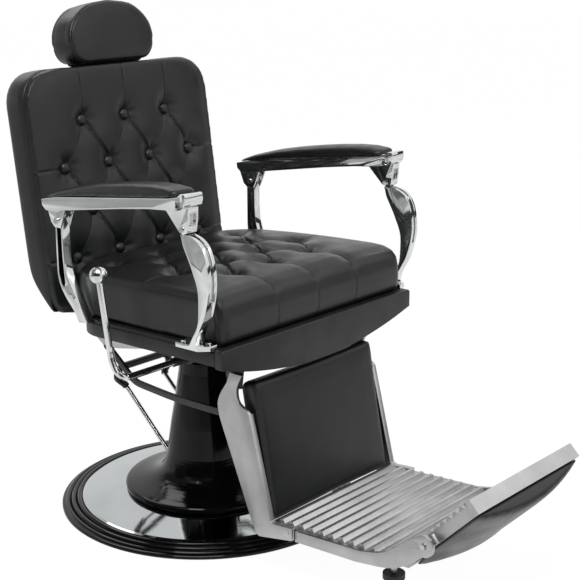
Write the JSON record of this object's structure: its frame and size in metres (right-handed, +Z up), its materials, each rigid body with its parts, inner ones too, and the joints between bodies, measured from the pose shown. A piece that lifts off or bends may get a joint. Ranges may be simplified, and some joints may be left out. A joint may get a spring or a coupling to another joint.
{
  "type": "hydraulic barber chair",
  "caption": "Barber chair on a round pump base: tufted seat, back and headrest, chrome arms, reclining back linked to a swinging footrest with a folding toe flap.",
  "frame": {"origin": "on the floor under the axis of the column, in the middle of the round base", "axes": "+Z is up, the sitter faces -Y, +X is the sitter's left"},
  "size_m": [0.6401, 1.1226, 1.0317],
  "materials": {
    "iron": "cast, painted grey",
    "gloss_black": "gloss",
    "mirror_disc": "mirror polished",
    "brass": "turned",
    "bright_steel": "machined",
    "frame_paint": "satin",
    "sleeve_black": "satin",
    "trim_black": "satin",
    "board": "plywood covered in black vinyl",
    "leather": "semi-matte grain",
    "chrome": "polished",
    "satin_aluminium": "satin"
  },
  "bodies": {
    "base": {"base_plate": "iron", "base_rim": "gloss_black", "base_disc": "mirror_disc", "column_cover": "gloss_black", "pump_cylinder": "iron", "pump_gland": "brass", "pump_bolts": "bright_steel", "pedal_bracket": "frame_paint", "pedal_pin": "bright_steel"},
    "pedal": {"pedal_rods": "bright_steel", "pedal_sleeve": "sleeve_black"},
    "ram": {"pump_ram": "bright_steel"},
    "seat": {"swivel_head": "gloss_black", "head_bolts": "bright_steel", "seat_frame": "frame_paint", "seat_board": "board", "front_apron": "trim_black", "seat_cushion": "leather", "arm_bar_left": "chrome", "arm_bar_right": "chrome", "front_leg_left": "chrome", "front_leg_right": "chrome", "rear_leg_left": "chrome", "rear_leg_right": "chrome", "arm_pad_left": "leather", "arm_pad_right": "leather", "arm_brackets": "chrome", "arm_bolts": "chrome", "hinge_brackets": "frame_paint", "hinge_shaft": "bright_steel", "footrest_brackets": "frame_paint", "lever_brackets": "frame_paint", "lever_spring": "bright_steel", "lock_cylinder": "frame_paint"},
    "lever": {"recline_lever": "chrome", "lever_knob": "chrome"},
    "lock_rod": {"lock_rod": "bright_steel"},
    "back": {"back_crank": "frame_paint", "back_board": "board", "back_cushion": "leather", "back_buttons": "leather", "back_shell": "trim_black", "headrest_guide": "chrome"},
    "headrest_slider": {"headrest_post": "chrome"},
    "headrest": {"headrest_housing": "trim_black", "headrest_pad": "leather", "headrest_pin": "bright_steel"},
    "footrest": {"footrest_arm_left": "satin_aluminium", "footrest_arm_right": "satin_aluminium", "leg_pad": "leather", "leg_panel": "trim_black", "footplate": "satin_aluminium", "foot_studs": "satin_aluminium", "foot_bumpers": "sleeve_black", "footrest_pins": "bright_steel"},
    "toe_flap": {"flap_plate": "satin_aluminium", "flap_pad": "leather", "flap_pins": "bright_steel"},
    "link_left": {"link_left": "frame_paint"},
    "link_right": {"link_right": "frame_paint"}
  },
  "joints": [
    {"name": "lift", "type": "slide", "parent": "base", "child": "ram", "axis": [0, 0, 1], "range_m": [0, 0.16]},
    {"name": "swivel", "type": "hinge", "parent": "ram", "child": "seat", "pos_m": [0, 0, 0.376], "axis": [0, 0, 1], "continuous": true},
    {"name": "recline", "type": "hinge", "parent": "seat", "child": "back", "pos_m": [0, 0.127, 0.425], "axis": [-1, 0, 0], "range_deg": [0, 40]},
    {"name": "footrest_swing", "type": "hinge", "parent": "seat", "child": "footrest", "pos_m": [0, -0.256, 0.36], "axis": [-1, 0, 0], "range_deg": [0, 40]},
    {"name": "link_left_swing", "type": "hinge", "parent": "back", "child": "link_left", "pos_m": [0.1795, 0.1, 0.358], "axis": [-1, 0, 0], "range_deg": [-40, 0]},
    {"name": "link_right_swing", "type": "hinge", "parent": "back", "child": "link_right", "pos_m": [-0.1795, 0.1, 0.358], "axis": [-1, 0, 0], "range_deg": [-40, 0]},
    {"name": "lock_slide", "type": "slide", "parent": "seat", "child": "lock_rod", "axis": [0, -1, 0], "range_m": [0, 0.0514]},
    {"name": "recline_lever_pull", "type": "hinge", "parent": "seat", "child": "lever", "pos_m": [-0.3, -0.089, 0.361], "axis": [-1, 0, 0], "range_deg": [0, 20], "stiffness_Nm_per_rad": 2, "springref_deg": -28.65},
    {"name": "pedal_press", "type": "hinge", "parent": "base", "child": "pedal", "pos_m": [0, 0.014, 0.06], "axis": [-1, 0, 0], "range_deg": [0, 20], "stiffness_Nm_per_rad": 8, "springref_deg": -28.65},
    {"name": "headrest_height", "type": "slide", "parent": "back", "child": "headrest_slider", "axis": [0, 0.1357, 0.9907], "range_m": [0, 0.08]},
    {"name": "headrest_tilt", "type": "hinge", "parent": "headrest_slider", "child": "headrest", "pos_m": [0, 0.28397, 0.94091], "axis": [-1, 0, 0], "range_deg": [-4, 8]},
    {"name": "toe_flap_fold", "type": "hinge", "parent": "footrest", "child": "toe_flap", "pos_m": [0, -0.693, 0.168], "axis": [-1, 0, 0], "range_deg": [0, 135]}
  ],
  "couplings": [
    {"joint": "footrest_swing", "follows": "recline", "ratio": 1},
    {"joint": "link_left_swing", "follows": "recline", "ratio": -1},
    {"joint": "link_right_swing", "follows": "recline", "ratio": -1},
    {"joint": "lock_slide", "follows": "recline", "m_per_rad": 0.07349}
  ]
}
